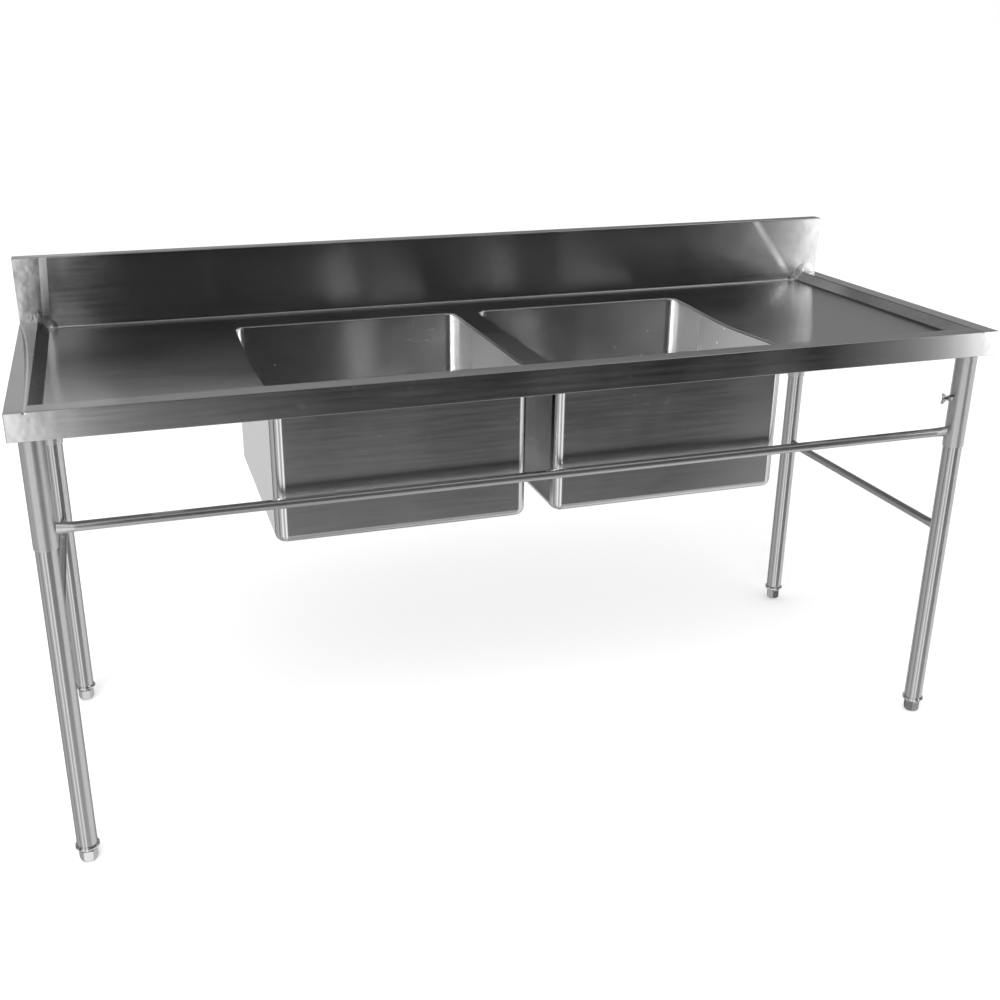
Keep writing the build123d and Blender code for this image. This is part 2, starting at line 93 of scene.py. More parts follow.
# ---- sheet metal -------------------------------------------------------------------
class Sheet:
    """One face of a folded sheet: welded points, the way each faces, and its faces."""

    grid = 2e5  # places to the metre: points that round to the same place are one point

    def __init__(self):
        self.points = []
        self.normals = []
        self.faces = []
        self.known = {}

    def point(self, place, normal):
        """The number of the point at this place, made once."""
        key = tuple(round(value * self.grid) for value in place)
        if key not in self.known:
            self.known[key] = len(self.points)
            self.points.append(Vector(place))
            self.normals.append(Vector(normal).normalized())
        return self.known[key]

    def face(self, corners):
        """A face turned to the side that its points' normals are on."""
        loop = [c for i, c in enumerate(corners) if c != corners[i - 1]]
        if len(set(loop)) < 3:
            return
        facing = geometry.normal([self.points[c] for c in loop])
        wanted = sum((self.normals[c] for c in loop), Vector())
        self.faces.append(loop if facing.dot(wanted) > 0 else loop[::-1])

    def strips(self, rows, closed=False):
        """The faces between rows of points."""
        for low, high in zip(rows, rows[1:]):
            count = len(low)
            for i in range(count if closed else count - 1):
                j = (i + 1) % count
                self.face([low[i], low[j], high[j], high[i]])

    def edge_pairs(self):
        """The open edges of the face, each once."""
        uses = {}
        for loop in self.faces:
            for i, c in enumerate(loop):
                pair = (loop[i - 1], c)
                uses.setdefault(tuple(sorted(pair)), []).append(pair)
        return [pairs[0] for pairs in uses.values() if len(pairs) == 1]

    def build(self, name, thickness):
        """The sheet as a mesh with its back face and its edges closed."""
        count = len(self.points)
        backs = [p - n * thickness for p, n in zip(self.points, self.normals)]
        faces = list(self.faces)
        faces += [[c + count for c in reversed(loop)] for loop in self.faces]
        faces += [[b, a, a + count, b + count] for a, b in self.edge_pairs()]
        mesh = bpy.data.meshes.new(name)
        mesh.from_pydata(self.points + backs, [], faces)
        mesh.polygons.foreach_set("use_smooth", [True] * len(faces))
        normals = self.normals + [-n for n in self.normals]
        mesh.normals_split_custom_set_from_vertices(normals)
        obj = bpy.data.objects.new(name, mesh)
        bpy.context.scene.collection.objects.link(obj)
        return obj


def bend_steps(count):
    """The angles that divide a quarter turn into a number of steps."""
    return [math.pi / 2 * i / count for i in range(count + 1)]


def rim_profile():
    """(inset, height, normal along inset, normal up) from the return flange to the deck."""
    low_steps, top_steps, slope_steps = 3, 6, 5
    turn = math.atan2(DECK_DROP, SLOPE_RUN)
    points = [(FLANGE, APRON_Z, 0, -1)]
    for a in bend_steps(low_steps):
        inset = LOW_BEND * (1 - math.sin(a))
        z = APRON_Z + LOW_BEND * (1 - math.cos(a))
        points.append((inset, z, -math.sin(a), -math.cos(a)))
    shoulder = RIM_Z - CROWN * (1 - math.cos(CROWN_TILT))
    centre_z = shoulder - TOP_BEND * math.cos(CROWN_TILT)
    for i in range(top_steps + 1):
        a = (math.pi / 2 - CROWN_TILT) * i / top_steps
        inset = TOP_BEND * (1 - math.cos(a))
        z = centre_z + TOP_BEND * math.sin(a)
        points.append((inset, z, -math.cos(a), math.sin(a)))
    start = TOP_BEND * (1 - math.sin(CROWN_TILT))
    for i in range(1, top_steps + 1):
        a = CROWN_TILT * (1 - i / top_steps)
        inset = start + CROWN * (math.sin(CROWN_TILT) - math.sin(a))
        z = shoulder + CROWN * (math.cos(a) - math.cos(CROWN_TILT))
        points.append((inset, z, -math.sin(a), math.cos(a)))
    edge = RIM_FLAT - SLOPE_TOP_BEND * math.tan(turn / 2)
    for i in range(slope_steps + 1):
        a = turn * i / slope_steps
        z = RIM_Z - SLOPE_TOP_BEND * (1 - math.cos(a))
        points.append((edge + SLOPE_TOP_BEND * math.sin(a), z, math.sin(a), math.cos(a)))
    foot = RIM_FLAT + SLOPE_RUN + SLOPE_FOOT_BEND * math.tan(turn / 2)
    for i in range(slope_steps + 1):
        a = turn * (1 - i / slope_steps)
        z = DECK_Z + SLOPE_FOOT_BEND * (1 - math.cos(a))
        points.append((foot - SLOPE_FOOT_BEND * math.sin(a), z, math.sin(a), math.cos(a)))
    return points


def left_stations():
    """The path of the rim from the rear left to the middle of the front.

    Each station turns an inset into (x, y, inset direction x, inset direction y)."""
    corner_x, corner_y = -HALF_LENGTH, FRONT_Y

    def side(y):
        return lambda q: (corner_x + q, y, 1, 0)

    def side_near(gap):
        return lambda q: (corner_x + q, corner_y + max(q, CORNER_BEND) + gap, 1, 0)

    def corner(a):
        def station(q):
            if q >= CORNER_BEND:
                return corner_x + q, corner_y + q, 0.5, 0.5
            reach = CORNER_BEND - q
            x = corner_x + CORNER_BEND - reach * math.cos(a)
            y = corner_y + CORNER_BEND - reach * math.sin(a)
            return x, y, math.cos(a), math.sin(a)
        return station

    def front_near(gap):
        return lambda q: (corner_x + max(q, CORNER_BEND) + gap, corner_y + q, 0, 1)

    def front(x):
        return lambda q: (x, corner_y + q, 0, 1)

    side_count, corner_steps, front_count = 11, 5, 17
    stations = [side(SPLASH_Y - i * STATION_GAP) for i in range(side_count)]
    stations += [side_near(gap) for gap in reversed(CORNER_GAPS)]
    stations += [corner(a) for a in bend_steps(corner_steps)]
    stations += [front_near(gap) for gap in CORNER_GAPS]
    stations += [front(FRONT_START + i * STATION_GAP) for i in range(front_count)]
    return stations


def mirrored(station):
    """The same station on the other half of the bench."""
    def flipped(q):
        x, y, ix, iy = station(q)
        return -x, y, -ix, iy
    return flipped


def deck_height(x, y):
    """The deck's height: level, with a dip in each drainer towards its bowl."""
    if not SLOPE_FOOT_Y < y < BOWLS["left"][1].y:
        return DECK_Z
    side = "left" if x < 0 else "right"
    low, high = BOWLS[side]
    bowl_edge = -low.x if side == "left" else high.x
    along = (y - SLOPE_FOOT_Y) / (high.y - SLOPE_FOOT_Y)
    reach = (SLOPE_FOOT_X - abs(x)) / (SLOPE_FOOT_X - bowl_edge)
    if reach > 1:
        reach = max(0.0, 1 - (bowl_edge - abs(x)) / BOWL_CORNER)
    return DECK_Z - DRAINER_SAG * max(reach, 0.0) * math.sin(math.pi * along) ** 2


def deck_normal(x, y):
    """The way the deck faces at a place."""
    step = 0.0005
    slope_x = (deck_height(x + step, y) - deck_height(x - step, y)) / (2 * step)
    slope_y = (deck_height(x, y + step) - deck_height(x, y - step)) / (2 * step)
    return Vector((-slope_x, -slope_y, 1)).normalized()


def opening_loop(low, high, inset, corner):
    """Points round a rounded oblong, each with its outward direction."""
    x0, x1 = low.x + inset, high.x - inset
    y0, y1 = low.y + inset, high.y - inset
    radius = corner - inset
    centres = [(x1 - radius, y1 - radius), (x0 + radius, y1 - radius),
               (x0 + radius, y0 + radius), (x1 - radius, y0 + radius)]
    loop = []
    for quarter, (cx, cy) in enumerate(centres):
        for a in bend_steps(BOWL_CORNER_STEPS):
            turn = a + quarter * math.pi / 2
            nx, ny = math.cos(turn), math.sin(turn)
            loop.append((cx + radius * nx, cy + radius * ny, nx, ny))
        next_x, next_y = centres[(quarter + 1) % 4]
        end_x, end_y = next_x + radius * nx, next_y + radius * ny
        start_x, start_y = loop[-1][:2]
        for i in range(1, BOWL_WALL_STEPS):
            t = i / BOWL_WALL_STEPS
            loop.append((start_x + (end_x - start_x) * t, start_y + (end_y - start_y) * t, nx, ny))
    return loop


def roll_radius(side, nx, ny):
    """How wide the rolled edge of a bowl opening is on the side that faces (nx, ny)."""
    to_drainer = nx < 0 if side == "left" else nx > 0
    across = ROLL_DRAINER if to_drainer else ROLL_DIVIDER
    along = ROLL_FRONT if ny < 0 else ROLL_REAR
    return across * nx * nx + along * ny * ny


def wall_top(side, x, y, nx, ny):
    """The height where a bowl's wall meets the rolled edge of its opening."""
    radius = roll_radius(side, nx, ny)
    return deck_height(x + nx * radius, y + ny * radius) - radius - WALL_DROP


def wall_row(sheet, side, loop):
    """The row of points round a bowl opening where wall and rolled edge meet."""
    return [sheet.point((x, y, wall_top(side, x, y, nx, ny)), (-nx, -ny, 0)) for x, y, nx, ny in loop]


def add_rolled_edge(sheet, side):
    """The rolled edge of one opening. Returns its outermost row."""
    roll_steps = 7
    loop = opening_loop(*BOWLS[side], SHEET, BOWL_CORNER)
    rows = [wall_row(sheet, side, loop)]
    for a in bend_steps(roll_steps):
        row = []
        for x, y, nx, ny in loop:
            radius = roll_radius(side, nx, ny)
            lip_x, lip_y = x + nx * radius, y + ny * radius
            flat = deck_normal(lip_x, lip_y) * math.sin(a)
            out = radius * (1 - math.cos(a))
            z = deck_height(lip_x, lip_y) - radius * (1 - math.sin(a))
            normal = flat - Vector((nx, ny, 0)) * math.cos(a)
            row.append(sheet.point((x + nx * out, y + ny * out, z), normal))
        rows.append(row)
    sheet.strips(rows, closed=True)
    return rows[-1]


def inside_loop(point, loop):
    """True if a point is within a closed outline."""
    x, y = point
    inside = False
    for (x0, y0), (x1, y1) in zip(loop, loop[1:] + loop[:1]):
        if (y0 > y) != (y1 > y) and x < x0 + (y - y0) * (x1 - x0) / (y1 - y0):
            inside = not inside
    return inside


def fill_deck(sheet, border, holes):
    """Triangles for the deck between its border and the bowl openings."""
    numbers = list(border)
    edges = [(i, i + 1) for i in range(len(border) - 1)] + [(len(border) - 1, 0)]
    for hole in holes:
        first = len(numbers)
        numbers += hole
        edges += [(first + i, first + (i + 1) % len(hole)) for i in range(len(hole))]
    flat = [sheet.points[n].xy for n in numbers]
    outlines = [[tuple(sheet.points[n].xy) for n in ring] for ring in holes]
    side_room, front_room, rear_room, border_room = 0.013, 0.011, 0.009, 0.006
    grid_offset = 0.9
    for i in range(int(2 * SLOPE_FOOT_X / DECK_SPACING)):
        for j in range(int((SPLASH_Y - SLOPE_FOOT_Y) / DECK_SPACING)):
            x = -SLOPE_FOOT_X + (i + grid_offset) * DECK_SPACING
            y = SLOPE_FOOT_Y + (j + grid_offset) * DECK_SPACING
            near = any(low.x - side_room < x < high.x + side_room
                       and low.y - front_room < y < high.y + rear_room
                       for low, high in BOWLS.values())
            inner = abs(x) < SLOPE_FOOT_X - border_room and y < SPLASH_Y - border_room
            if inner and not near:
                flat.append(Vector((x, y)))
    tolerance = 1e-7
    made, _, triangles, origin, _, _ = geometry.delaunay_2d_cdt(flat, edges, [], 0, tolerance)
    kept = []
    for place, source in zip(made, origin):
        if source and source[0] < len(numbers):
            kept.append(numbers[source[0]])
        else:
            z = deck_height(place.x, place.y)
            kept.append(sheet.point((place.x, place.y, z), deck_normal(place.x, place.y)))
    for triangle in triangles:
        middle = sum((made[i] for i in triangle), Vector((0, 0))) / 3
        if not any(inside_loop(middle, outline) for outline in outlines):
            sheet.face([kept[i] for i in triangle])


def make_worktop():
    """The bench top: aprons, rims, slopes, deck, drainers and rolled openings in one sheet."""
    sheet = Sheet()
    left = left_stations()
    path = left + [mirrored(station) for station in left[-2::-1]]
    rows = []
    for inset, z, across, up in rim_profile():
        row = []
        for station in path:
            x, y, ix, iy = station(inset)
            row.append(sheet.point((x, y, z), (across * ix, across * iy, up)))
        rows.append(row)
    sheet.strips(rows)
    border = [n for i, n in enumerate(rows[-1]) if n != rows[-1][i - 1]]
    half_steps = 20
    rear = []
    for i in range(half_steps - 1, -half_steps, -1):
        x = i / half_steps * SLOPE_FOOT_X
        rear.append(sheet.point((x, SPLASH_Y, DECK_Z), (0, 0, 1)))
    holes = [add_rolled_edge(sheet, side) for side in BOWLS]
    fill_deck(sheet, border + rear, holes)
    return sheet.build("worktop_sheet", SHEET)


def make_bowl(side):
    """A bowl with rounded corners and floor bend, open at its waste hole."""
    low, high = BOWLS[side]
    sheet = Sheet()
    loop = opening_loop(low, high, SHEET, BOWL_CORNER)
    bend = BOWL_FLOOR_BEND - SHEET
    floor_z = BOWL_BOTTOM_Z + SHEET
    rows = [wall_row(sheet, side, loop)]
    floor_steps = 8
    for a in bend_steps(floor_steps):
        out = bend * (1 - math.cos(a))
        z = floor_z + bend * (1 - math.sin(a))
        row = []
        for x, y, nx, ny in loop:
            normal = (-nx * math.cos(a), -ny * math.cos(a), math.sin(a))
            row.append(sheet.point((x - nx * out, y - ny * out, z), normal))
        rows.append(row)
    centre = (low + high) / 2
    waste = []
    for x, y, _, _ in loop:
        away = Vector((x - centre.x, y - centre.y)).normalized() * WASTE_HOLE_RADIUS
        waste.append(sheet.point((centre.x + away.x, centre.y + away.y, floor_z), (0, 0, 1)))
    rows.append(waste)
    sheet.strips(rows, closed=True)
    return sheet.build(f"bowl_{side}_sheet", SHEET)


# ---- materials ---------------------------------------------------------------------
class Nodes:
    """Short ways to add and join shader nodes."""

    def __init__(self, tree):
        self.tree = tree
        tree.nodes.clear()

    def add(self, kind, **settings):
        node = self.tree.nodes.new(kind)
        for name, value in settings.items():
            setattr(node, name, value)
        return node

    def join(self, source, target):
        self.tree.links.new(source, target)

    def feed(self, node, index, value):
        """Joins a socket, or sets a plain value, on one input."""
        if isinstance(value, bpy.types.NodeSocket):
            self.join(value, node.inputs[index])
        else:
            node.inputs[index].default_value = value

    def math(self, operation, a, b=0.0, c=0.0):
        node = self.add("ShaderNodeMath", operation=operation)
        for index, value in enumerate((a, b, c)):
            self.feed(node, index, value)
        return node.outputs[0]

    def product(self, *values):
        result = values[0]
        for value in values[1:]:
            result = self.math("MULTIPLY", result, value)
        return result

    def gap(self, a, b):
        """How far apart two values are."""
        return self.math("ABSOLUTE", self.math("SUBTRACT", a, b))

    def flipped(self, value):
        """One less the value."""
        return self.math("SUBTRACT", 1.0, value)

    def vector(self, operation, a, b=(0, 0, 0)):
        node = self.add("ShaderNodeVectorMath", operation=operation)
        self.feed(node, 0, a)
        self.feed(node, 1, b)
        return node.outputs[0]

    def split(self, vector):
        node = self.add("ShaderNodeSeparateXYZ")
        self.join(vector, node.inputs[0])
        return node.outputs

    def ramp(self, value, low, high, to_low=0.0, to_high=1.0, smooth=True):
        """A smooth step from to_low at low to to_high at high."""
        kind = "SMOOTHSTEP" if smooth else "LINEAR"
        node = self.add("ShaderNodeMapRange", interpolation_type=kind)
        for name, entry in (("Value", value), ("From Min", low), ("From Max", high),
                            ("To Min", to_low), ("To Max", to_high)):
            self.feed(node, name, entry)
        return node.outputs[0]

    def noise(self, vector, scale, detail=3.0, rough=0.5, stretch=(1, 1, 1)):
        node = self.add("ShaderNodeTexNoise")
        self.join(self.vector("MULTIPLY", vector, stretch), node.inputs["Vector"])
        node.inputs["Scale"].default_value = scale
        node.inputs["Detail"].default_value = detail
        node.inputs["Roughness"].default_value = rough
        return node.outputs["Fac"]

    def mix(self, share, a, b):
        node = self.add("ShaderNodeMix", data_type="FLOAT")
        self.feed(node, 0, share)
        self.feed(node, 2, a)
        self.feed(node, 3, b)
        return node.outputs[0]

    def gloss(self, color, rough, anisotropy):
        """A mirror lobe with short tails."""
        node = self.add("ShaderNodeBsdfAnisotropic", distribution="BECKMANN")
        self.join(color, node.inputs["Color"])
        self.feed(node, "Roughness", rough)
        self.feed(node, "Anisotropy", anisotropy)
        return node

    def blend(self, share, a, b):
        """Two surface shaders in given shares."""
        node = self.add("ShaderNodeMixShader")
        self.feed(node, 0, share)
        self.join(a, node.inputs[1])
        self.join(b, node.inputs[2])
        return node.outputs[0]

    def curve(self, value, points):
        """Levels at given places, (place, level), with straight lines between them."""
        node = self.add("ShaderNodeValToRGB")
        stops = node.color_ramp.elements
        while len(stops) < len(points):
            stops.new(0.5)
        for stop, (place, level) in zip(stops, points):
            stop.position = place
            stop.color = (level, level, level, 1)
        self.join(value, node.inputs[0])
        return node.outputs[0]

    def grey(self, level):
        """A colour from one value for all its channels."""
        node = self.add("ShaderNodeCombineColor")
        for index in range(3):
            self.join(level, node.inputs[index])
        return node.outputs[0]


LINE_HEIGHT = 0.00006  # of the ground lines
LINE_STRENGTH = 0.006
WAVE_HEIGHT = 0.0001
CLOUD_ROUGH = 0.015  # how much the cloudy polish changes the roughness
BRUSHED_SHARE = 0.85  # the rest is a clearer reflection
CLEAR_SPREAD = 0.8
CLEAR_ROUGH = 0.6  # as a share of the brushed part's roughness
HAZE_ROUGH = 0.65


def drawn_out(axis, share):
    """How to scale a pattern so that its marks run along an axis."""
    return [share if value else 1.0 for value in axis]


def haze_share(n, place, normal, haze, rings, inside, formed):
    """The share of wide scatter on each face, as steel() describes."""
    if rings:
        facing = 1.0
    elif inside:
        reach = inside - 0.015  # a little more than from a bowl's middle to its end wall
        x = n.split(place)[0]
        out = n.math("SUBTRACT", x, n.product(n.math("SIGN", x), inside))
        facing = n.product(out, n.split(normal)[0], -1 / reach)
    else:
        facing = n.split(normal)[2]
    share = n.ramp(facing, 0.4, 0.95, 0.0, haze)
    if inside:
        # seen directly it grows towards the front; in mirror images it is faint
        direct = n.add("ShaderNodeLightPath").outputs["Is Camera Ray"]
        frontward = n.ramp(n.split(place)[1], 0.2, -0.12, 0.6, 1.3)
        share = n.product(share, n.mix(direct, 0.2, frontward))
    if formed:
        slope_facing = 0.73  # how far the slopes along the rims face upwards
        share = n.math("ADD", share, n.ramp(n.gap(facing, slope_facing), 0.2, 0.05, 0.0, 0.12))
    return share


def steel(name, tone=0.62, rough=0.22, axis=(1, 0, 0), spread=0.6, haze=0.0, inside=0.0, formed=None):
    """Ground stainless steel: fine lines along one axis, cloudy polish and slight waves.

    axis: the way the lines run, or None for rings round an upright tube. spread: how much more
    it scatters across the lines than along them. haze: share of wide scatter on level faces, on
    all of a tube, or on the end walls inside two bowls whose middles are at x = -inside and
    inside. formed: adds the marks that folding and welding left, with painted shade and painted
    highlights, and paints faces turned downwards darker as painted shade."""
    material = bpy.data.materials.new(name)
    material.use_nodes = True
    n = Nodes(material.node_tree)
    place = n.add("ShaderNodeTexCoord").outputs["Object"]
    normal = n.add("ShaderNodeNewGeometry").outputs["Normal"]
    rings = axis is None
    across = n.vector("CROSS_PRODUCT", normal, (0, 0, 0) if rings else axis)
    across = n.vector("ADD", across, (0, 0, 0.05))  # upright where the cross product is nothing
    grain_axis = (1, 1, 0) if rings else axis
    lines = n.noise(place, scale=900, detail=2.0, rough=0.6, stretch=drawn_out(grain_axis, 0.02))
    streaks = n.noise(place, scale=120, detail=4.0, rough=0.6, stretch=drawn_out(grain_axis, 0.05))
    clouds = n.noise(place, scale=5, detail=4.0, rough=0.55)
    rubs = n.noise(place, scale=42, detail=3.0, rough=0.6)
    waves = n.noise(place, scale=3.2, detail=1.0, rough=0.4)

    rough_value = n.math("ADD", rough, n.ramp(clouds, 0.35, 0.68, -CLOUD_ROUGH, CLOUD_ROUGH))
    rough_value = n.math("ADD", rough_value, n.ramp(streaks, 0.3, 0.7, -0.015, 0.02))
    rough_value = n.math("ADD", rough_value, n.ramp(rubs, 0.62, 0.75, 0.0, 0.03))
    tone_value = tone
    for pattern, depth in ((streaks, 0.05), (lines, 0.05), (clouds, 0.08)):
        tone_value = n.math("MULTIPLY_ADD", n.math("SUBTRACT", pattern, 0.5), depth, tone_value)
    height = n.product(waves, WAVE_HEIGHT)
    if formed:
        height, tone_value, rough_value = formed(n, place, height, tone_value, rough_value)
        # faces turned downwards are painted darker: painted shade
        painted_underside_shade = n.ramp(n.split(normal)[2], -0.5, -0.9, 1.0, 0.35)
        tone_value = n.product(tone_value, painted_underside_shade)

    tint = n.grey(tone_value)
    bump = n.add("ShaderNodeBump")
    bump.inputs["Distance"].default_value = 1.0
    n.join(height, bump.inputs["Height"])
    fine = n.add("ShaderNodeBump")
    fine.inputs["Strength"].default_value = LINE_STRENGTH
    fine.inputs["Distance"].default_value = LINE_HEIGHT
    n.join(lines, fine.inputs["Height"])
    n.join(bump.outputs[0], fine.inputs["Normal"])
    clear = n.add("ShaderNodeBsdfPrincipled")
    clear.inputs["Metallic"].default_value = 1.0
    clear.inputs["Anisotropic"].default_value = CLEAR_SPREAD
    n.join(tint, clear.inputs["Base Color"])
    n.join(n.product(rough_value, CLEAR_ROUGH), clear.inputs["Roughness"])
    brushed = n.gloss(tint, rough_value, -spread)
    for shader in (clear, brushed):
        n.join(across, shader.inputs["Tangent"])
        n.join(fine.outputs[0], shader.inputs["Normal"])
    shade = n.blend(BRUSHED_SHARE, clear.outputs[0], brushed.outputs[0])
    if haze:
        scatter = n.gloss(tint, HAZE_ROUGH, 0.0)
        share = haze_share(n, place, normal, haze, rings, inside, formed)
        shade = n.blend(share, shade, scatter.outputs[0])
    n.join(shade, n.add("ShaderNodeOutputMaterial").inputs[0])
    return material


def splash_marks(n, place, x, z):
    """Heights of a slight step down the splashback's left end, and a scuff across its right corner."""
    rise = n.math("SUBTRACT", z, RIM_Z)
    leaning = n.math("MULTIPLY_ADD", rise, -0.057, x)
    step_start = -HALF_LENGTH + 0.046
    step = n.ramp(leaning, step_start, step_start + 0.0155, 0.0, 0.00035, smooth=False)
    right = n.math("SUBTRACT", x, HALF_LENGTH - 0.172)
    up = n.math("SUBTRACT", z, SPLASH_TOP_Z - 0.01)
    slant = n.math("MULTIPLY_ADD", right, 0.797, n.product(up, 0.603))
    patches = n.noise(place, scale=9, detail=1.0, rough=0.5)
    scuff = n.product(n.ramp(slant, -0.012, 0.01, 0.0007, 0.0), patches)
    return n.math("ADD", step, scuff)


def rim_dent_and_painted_light(n, x, y, rim, height, tone):
    """A slight dent along a curved fold of the left rim with a painted highlight along it, and a painted
    shade line along the fold of the right one.
    """
    curve_length, curve_depth = 0.27, 0.036
    inset = n.math("ADD", x, HALF_LENGTH)
    from_splash = n.math("SUBTRACT", SPLASH_Y, y)
    fall = n.math("POWER", math.e, n.product(from_splash, -1 / curve_length))
    dent_and_painted_highlight = n.gap(inset, n.math("MULTIPLY_ADD", fall, -curve_depth, curve_depth))
    dent_and_painted_highlight = n.product(n.ramp(dent_and_painted_highlight, 0.004, 0.0), rim)
    height = n.math("MULTIPLY_ADD", dent_and_painted_highlight, -0.0002, height)
    # painted highlight along the dent of the left rim
    tone = n.math("MULTIPLY_ADD", dent_and_painted_highlight, 0.22, tone)
    # painted shade line along the fold of the right rim
    painted_fold_shade = n.product(n.ramp(n.gap(x, HALF_LENGTH - RIM_FLAT), 0.002, 0.0005), rim)
    return height, n.product(tone, n.math("MULTIPLY_ADD", painted_fold_shade, -0.6, 1.0))


def slope_shade(n, x, y, deck):
    """The right slope is painted darker towards the rear, and a painted shadow line widens along its
    foot.
    """
    sloped = n.product(n.math("GREATER_THAN", x, SLOPE_FOOT_X),
                       n.math("LESS_THAN", x, HALF_LENGTH - RIM_FLAT))
    # painted shade: the right slope is painted darker towards the rear
    painted_rear_shade = n.product(sloped, deck, n.ramp(y, -0.1, 0.33, 0.1, 0.5))
    width = n.ramp(y, 0.33, -0.3, 0.005, 0.028)
    foot = n.ramp(n.math("DIVIDE", n.math("SUBTRACT", SLOPE_FOOT_X, x), width), 1.0, 0.1)
    foot = n.product(foot, n.math("LESS_THAN", x, SLOPE_FOOT_X + 0.002))
    return n.flipped(n.math("MAXIMUM", painted_rear_shade, n.product(foot, deck, 0.7)))


def divider_shade(n, far, y):
    """The deck between the bowls is painted darker towards the front: painted shade."""
    # painted shade between the bowls, darker towards the front
    strip = n.product(n.ramp(far, 0.06, 0.035), n.ramp(y, 0.15, -0.25))
    strip = n.product(strip, n.math("GREATER_THAN", y, SLOPE_FOOT_Y))
    return n.math("MULTIPLY_ADD", strip, -0.5, 1.0)


def weld_marks(n, place, far, y, z, height, tone, rough):
    """Weld beads where the rims and slopes meet the splashback, at both ends."""
    spot = n.add("ShaderNodeCombineXYZ")
    for index, value in enumerate((far, y, z)):
        n.join(value, spot.inputs[index])
    beads = n.noise(place, scale=150, detail=2.0, rough=0.6)
    rim_weld = (HALF_LENGTH - 0.03, SPLASH_Y, RIM_Z)
    slope_weld = (HALF_LENGTH - 0.058, SPLASH_Y, DECK_Z + 0.004)
    for at, reach in ((rim_weld, 0.026), (slope_weld, 0.018)):
        away = n.add("ShaderNodeVectorMath", operation="DISTANCE")
        n.join(spot.outputs[0], away.inputs[0])
        away.inputs[1].default_value = at
        weld = n.ramp(away.outputs["Value"], reach, reach * 0.3)
        height = n.math("ADD", height, n.product(weld, beads, 0.0006))
        tone = n.math("MULTIPLY_ADD", weld, 0.15, tone)
        rough = n.math("MULTIPLY_ADD", weld, 0.1, rough)
    return height, tone, rough


def bench_marks_and_painted_light(n, place, height, tone, rough):
    """The marks of folding, welding and use on the bench top and the splashback, with painted shade and
    painted highlights.
    """
    x, y, z = n.split(place)
    far = n.math("ABSOLUTE", x)
    behind = n.math("GREATER_THAN", y, SPLASH_Y - 0.002)
    above = n.math("GREATER_THAN", z, RIM_Z - 0.004)
    rim = n.product(above, n.flipped(behind))
    deck = n.product(n.flipped(behind), n.math("GREATER_THAN", y, SLOPE_FOOT_Y - 0.01))
    face = n.product(behind, above, n.math("LESS_THAN", y, SPLASH_Y + 0.004))
    # both ends are a little uneven, the left one more
    ends = n.ramp(far, 0.85, 0.93)
    dents = n.noise(place, scale=24, detail=2.0, rough=0.5)
    depth = n.ramp(x, -0.5, 0.5, 0.0005, 0.0002)
    height = n.math("ADD", height, n.product(dents, ends, depth))
    rough = n.math("MULTIPLY_ADD", ends, 0.03, rough)
    height = n.math("MULTIPLY_ADD", splash_marks(n, place, x, z), face, height)
    height, tone = rim_dent_and_painted_light(n, x, y, rim, height, tone)
    tone = n.product(tone, slope_shade(n, x, y, deck))
    # the right rim is painted paler: a painted highlight
    edge = n.product(n.math("GREATER_THAN", x, HALF_LENGTH - RIM_FLAT), rim)
    tone = n.math("MULTIPLY_ADD", edge, 0.2, tone)
    tone = n.product(tone, divider_shade(n, far, y))
    return weld_marks(n, place, far, y, z, height, tone, rough)


def moulded(name, tone, rough, speck):
    """Rubber or moulded plastic with a fine texture."""
    material = bpy.data.materials.new(name)
    material.use_nodes = True
    n = Nodes(material.node_tree)
    place = n.add("ShaderNodeTexCoord").outputs["Object"]
    grain = n.noise(place, scale=700, detail=3.0, rough=0.6)
    dust = n.noise(place, scale=30, detail=4.0, rough=0.6)
    level = n.math("MULTIPLY_ADD", n.math("SUBTRACT", dust, 0.5), tone * 0.5, tone)
    bump = n.add("ShaderNodeBump")
    bump.inputs["Strength"].default_value = speck
    bump.inputs["Distance"].default_value = 0.0002
    n.join(grain, bump.inputs["Height"])
    shader = n.add("ShaderNodeBsdfPrincipled")
    n.join(n.grey(level), shader.inputs["Base Color"])
    n.join(n.ramp(dust, 0.3, 0.7, rough - 0.08, rough + 0.08), shader.inputs["Roughness"])
    n.join(bump.outputs[0], shader.inputs["Normal"])
    n.join(shader.outputs[0], n.add("ShaderNodeOutputMaterial").inputs[0])
    return material


BOWL_MIDDLE_X = (BOWLS["right"][0].x + BOWLS["right"][1].x) / 2
MATERIALS = {
    "deck_sheet": steel("deck_sheet", rough=0.21, haze=0.06, formed=bench_marks_and_painted_light),
    "bowl_sheet": steel("bowl_sheet", rough=0.24, haze=0.3, inside=BOWL_MIDDLE_X),
    "bearer_steel": steel("bearer_steel", tone=0.5, rough=0.3),
    "satin_tube": steel("satin_tube", rough=0.3, axis=None, spread=-0.4, haze=0.5),
    "plate_steel": steel("plate_steel", tone=0.5, rough=0.32),
    "fastener_steel": steel("fastener_steel", tone=0.55, rough=0.25),
    "wing_metal": steel("wing_metal", tone=0.6),
    "polished_tube": steel("polished_tube", tone=0.56, rough=0.22, axis=None, haze=0.3),
    "foot_metal": steel("foot_metal", rough=0.18, axis=None, spread=0.3),
    "thread_steel": steel("thread_steel", tone=0.5, rough=0.3, axis=None, haze=0.1),
    "waste_metal": steel("waste_metal", tone=0.6, rough=0.2),
    "gasket_rubber": moulded("gasket_rubber", tone=0.03, rough=0.6, speck=0.3),
    "nut_plastic": moulded("nut_plastic", tone=0.06, rough=0.45, speck=0.2),
}


